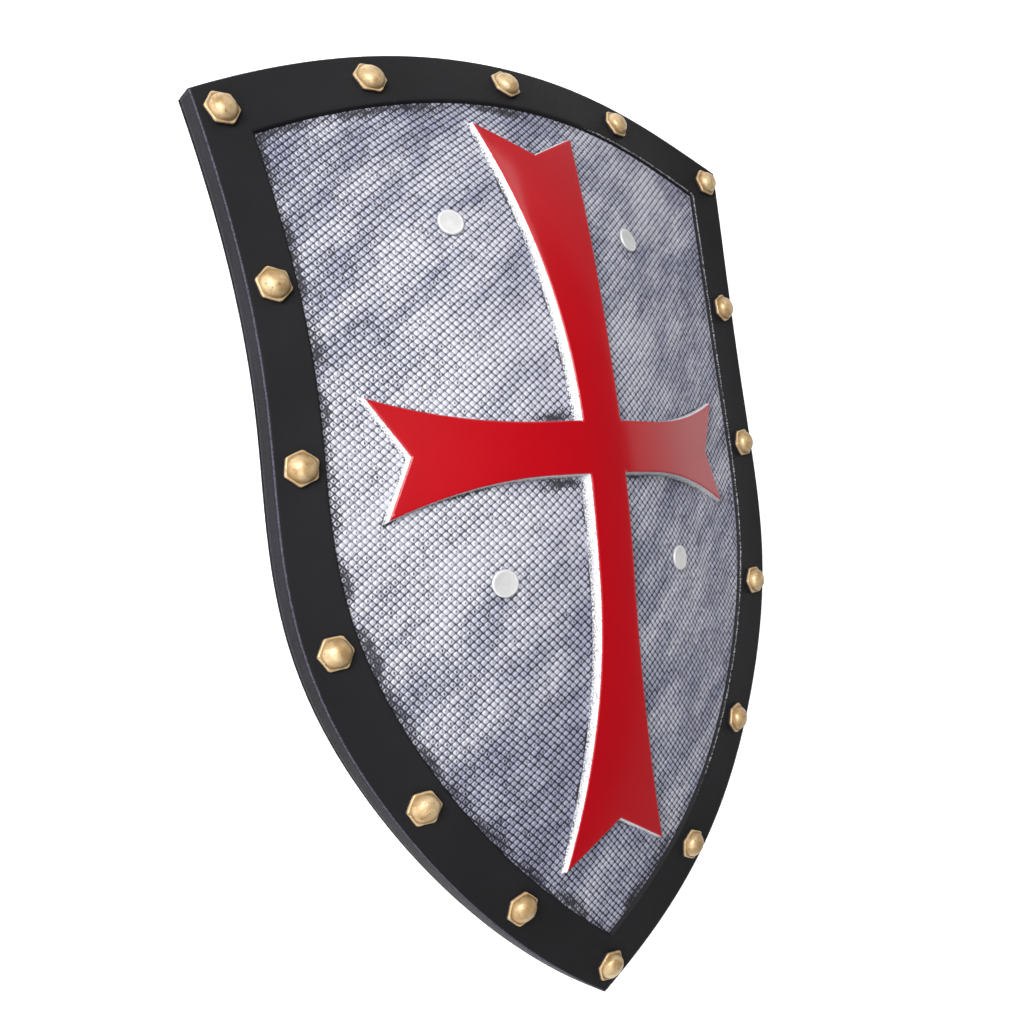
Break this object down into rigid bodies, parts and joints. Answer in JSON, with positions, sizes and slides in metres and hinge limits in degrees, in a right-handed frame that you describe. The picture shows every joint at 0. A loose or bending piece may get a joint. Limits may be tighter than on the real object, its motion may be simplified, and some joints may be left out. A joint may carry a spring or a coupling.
{
  "type": "knight shield",
  "caption": "Moulded foam heater shield with a bowed front, raised border with studs, mail field and raised cross, and two arm straps riveted on behind.",
  "frame": {"origin": "middle of the box that holds the part, on the plane that its back edges rest on", "axes": "+X across the shield to the right as seen from the front, +Y towards the top edge, +Z out of the front face"},
  "size_m": [0.413, 0.603, 0.0872],
  "materials": {
    "mail_silver": "foam painted black and dry-brushed silver",
    "border_black": "foam painted satin black",
    "cross_red": "foam painted smooth glossy red",
    "stud_gold": "foam painted satin gold",
    "rivet_steel": "satin",
    "strap_webbing": "black woven webbing"
  },
  "bodies": {
    "root": {"shield_body": "mail_silver", "rivet_upper_left": "rivet_steel", "rivet_upper_right": "rivet_steel", "rivet_lower_left": "rivet_steel", "rivet_lower_right": "rivet_steel", "strap_upper": "strap_webbing", "strap_lower": "strap_webbing"}
  },
  "joints": []
}
